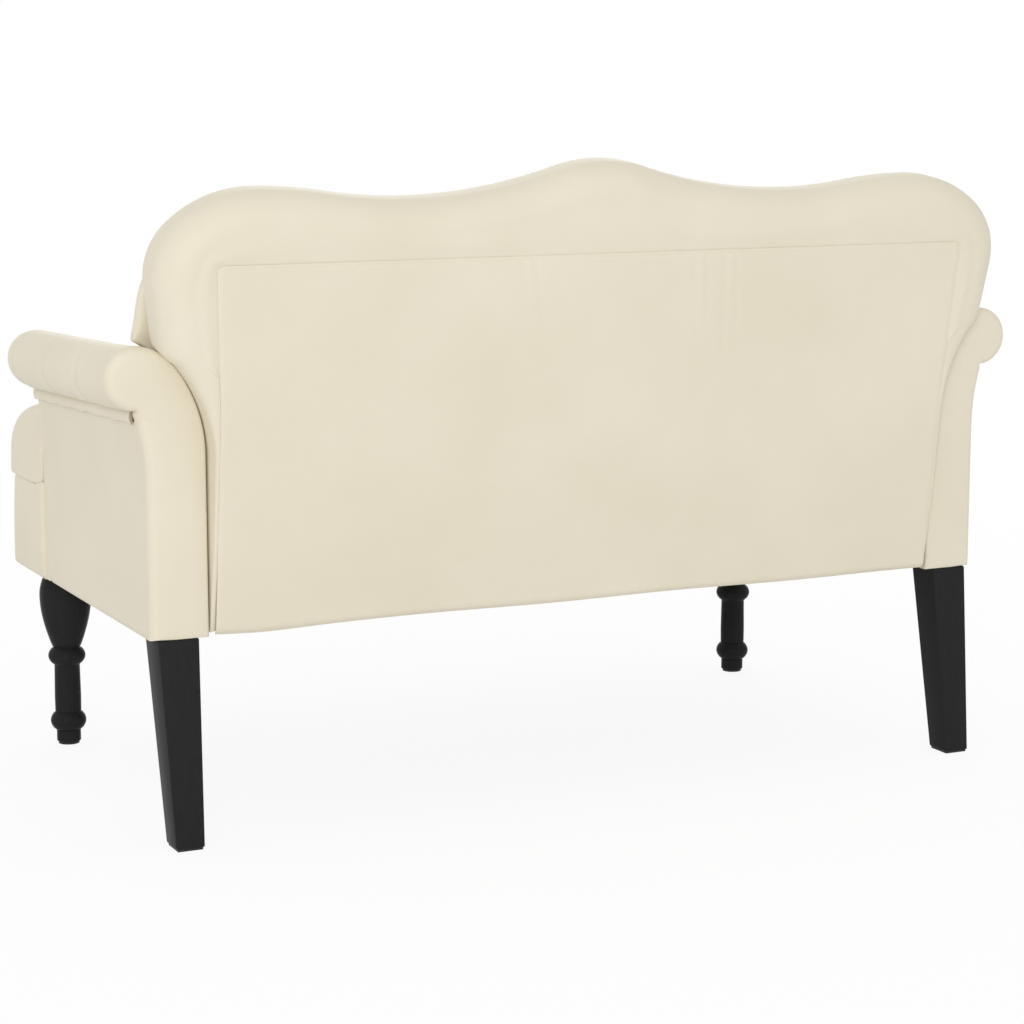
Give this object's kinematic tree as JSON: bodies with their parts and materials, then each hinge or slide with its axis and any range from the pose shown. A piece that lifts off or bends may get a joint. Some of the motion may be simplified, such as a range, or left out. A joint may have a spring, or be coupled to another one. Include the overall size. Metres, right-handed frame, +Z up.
{
  "type": "chesterfield bench",
  "caption": "Upholstered chesterfield bench with rolled, pleated arms, a camelback, a button-tufted inside back, a crowned seat, turned front legs and splayed square rear legs.",
  "frame": {"origin": "on the floor, under the middle of the bench's box", "axes": "+Z up, +X to the sitter's left, the sitter looks along -Y and the back is at +Y"},
  "size_m": [1.192, 0.6436, 0.7672],
  "materials": {
    "cream_leather": "matte grained leather",
    "pine_frame": "planed, unfinished",
    "plywood": "sawn, unfinished",
    "black_lacquered_wood": "black satin lacquer",
    "elastic_webbing": "woven elastic strap",
    "deck_cloth": "felted cloth",
    "dust_cloth": "black non-woven cloth",
    "upholstery_foam": "open-cell foam",
    "zinc_steel": "zinc plated",
    "nylon": "moulded, matte"
  },
  "bodies": {
    "root": {"arm_bottom_rail_left": "pine_frame", "arm_bottom_rail_right": "pine_frame", "arm_buttons": "cream_leather", "arm_front_board_left": "plywood", "arm_front_board_right": "plywood", "arm_front_facing_left": "cream_leather", "arm_front_facing_right": "cream_leather", "arm_outside_panel_left": "cream_leather", "arm_outside_panel_right": "cream_leather", "arm_pad_left": "cream_leather", "arm_pad_right": "cream_leather", "arm_rear_board_left": "plywood", "arm_rear_board_right": "plywood", "arm_rear_facing_left": "cream_leather", "arm_rear_facing_right": "cream_leather", "arm_roll_rail_left": "pine_frame", "arm_roll_rail_right": "pine_frame", "arm_tack_band_left": "cream_leather", "arm_tack_band_right": "cream_leather", "arm_tack_rail_left": "pine_frame", "arm_tack_rail_right": "pine_frame", "back_border": "cream_leather", "back_bottom_rail": "pine_frame", "back_buttons": "cream_leather", "back_foam": "upholstery_foam", "back_inside_pad": "cream_leather", "back_middle_rail": "pine_frame", "back_outside_panel": "cream_leather", "back_post_left": "pine_frame", "back_post_right": "pine_frame", "back_top_rail": "plywood", "back_webbing": "elastic_webbing", "foot_glides": "nylon", "frame_bolts": "zinc_steel", "frame_washers": "zinc_steel", "front_leg_blocks": "pine_frame", "front_leg_left": "black_lacquered_wood", "front_leg_right": "black_lacquered_wood", "leg_bolts": "zinc_steel", "leg_nuts": "zinc_steel", "rear_leg_left": "black_lacquered_wood", "rear_leg_right": "black_lacquered_wood", "seat_apron": "cream_leather", "seat_back_rail": "pine_frame", "seat_centre_rail": "pine_frame", "seat_corner_blocks": "pine_frame", "seat_cushion": "cream_leather", "seat_deck_cloth": "deck_cloth", "seat_dust_cover": "dust_cloth", "seat_ear_back_left": "pine_frame", "seat_ear_back_right": "pine_frame", "seat_ear_side_left": "pine_frame", "seat_ear_side_right": "pine_frame", "seat_foam": "upholstery_foam", "seat_front_rail": "pine_frame", "seat_side_rail_left": "pine_frame", "seat_side_rail_right": "pine_frame", "seat_webbing": "elastic_webbing"}
  },
  "joints": []
}
